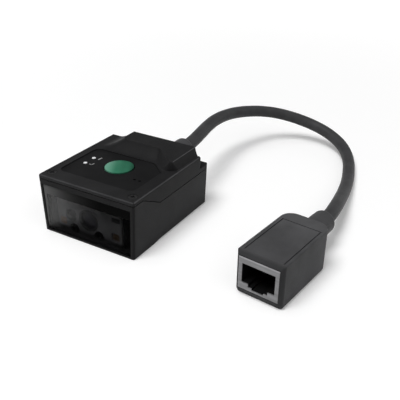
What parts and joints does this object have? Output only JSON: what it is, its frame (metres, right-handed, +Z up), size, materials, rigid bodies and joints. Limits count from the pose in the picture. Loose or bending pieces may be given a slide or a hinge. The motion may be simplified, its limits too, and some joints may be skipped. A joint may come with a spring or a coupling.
{
  "type": "fixed barcode reader",
  "caption": "Compact fixed-mount barcode reader: drafted two-shell housing, full-width dark scan window, round trigger key, raised rear deck and a short lead ending in a female modular jack.",
  "frame": {"origin": "bottom centre of the reader's housing, on the plane of its front foot", "axes": "+Z up, +X to the right seen from the window side, +Y from the scan window towards the rear"},
  "size_m": [0.0968, 0.13, 0.0259],
  "materials": {
    "housing_plastic": "fine textured black moulding",
    "cover_plastic": "fine textured black moulding",
    "label_film": "smooth matt film",
    "window_acrylic": "polished smoked acrylic",
    "mask_film": "dead black print",
    "key_rubber": "satin translucent silicone",
    "switch_plastic": "moulded",
    "pipe_plastic": "frosted clear moulding",
    "light_resin": "clear resin over phosphor",
    "engine_plastic": "fine moulded",
    "barrel_metal": "black anodised look",
    "lens_glass": "coated glass",
    "sensor_resin": "dark resin",
    "board_laminate": "solder mask",
    "flex_film": "amber film",
    "header_plastic": "natural moulding",
    "screw_steel": "zinc plated",
    "screw_black": "black oxide",
    "insert_brass": "turned",
    "boot_rubber": "moulded soft vinyl",
    "cable_jacket": "satin vinyl jacket",
    "jack_plastic": "fine textured moulding",
    "shield_metal": "tin plated sheet",
    "insert_plastic": "black moulding",
    "contact_gold": "gold flash"
  },
  "bodies": {
    "reader": {"lower_housing": "housing_plastic", "top_cover": "cover_plastic", "label_sheet": "label_film", "scan_window": "window_acrylic", "window_mask": "mask_film", "key_switch": "switch_plastic", "light_pipes": "pipe_plastic", "status_lights": "light_resin", "buzzer": "engine_plastic", "engine_frame": "engine_plastic", "lens_barrel": "barrel_metal", "imaging_lens": "lens_glass", "aimer_barrel": "barrel_metal", "aimer_lens": "lens_glass", "sensor_hoods": "mask_film", "proximity_sensors": "sensor_resin", "illumination_lights": "light_resin", "ambient_sensor": "sensor_resin", "sensor_board": "board_laminate", "image_sensor": "sensor_resin", "main_board": "board_laminate", "board_chips": "sensor_resin", "board_flex": "flex_film", "lead_header": "header_plastic", "board_screws": "screw_steel", "cover_screws": "screw_black", "mounting_inserts": "insert_brass", "cable_boot": "boot_rubber", "cable": "cable_jacket", "jack_housing": "jack_plastic", "jack_relief": "boot_rubber", "jack_shield": "shield_metal", "jack_insert": "insert_plastic", "jack_contacts": "contact_gold"},
    "key": {"trigger_key": "key_rubber"}
  },
  "joints": [
    {"name": "key_press", "type": "slide", "parent": "reader", "child": "key", "axis": [0, 0, -1], "range_m": [0, 0.0005], "stiffness_N_per_m": 1000}
  ]
}
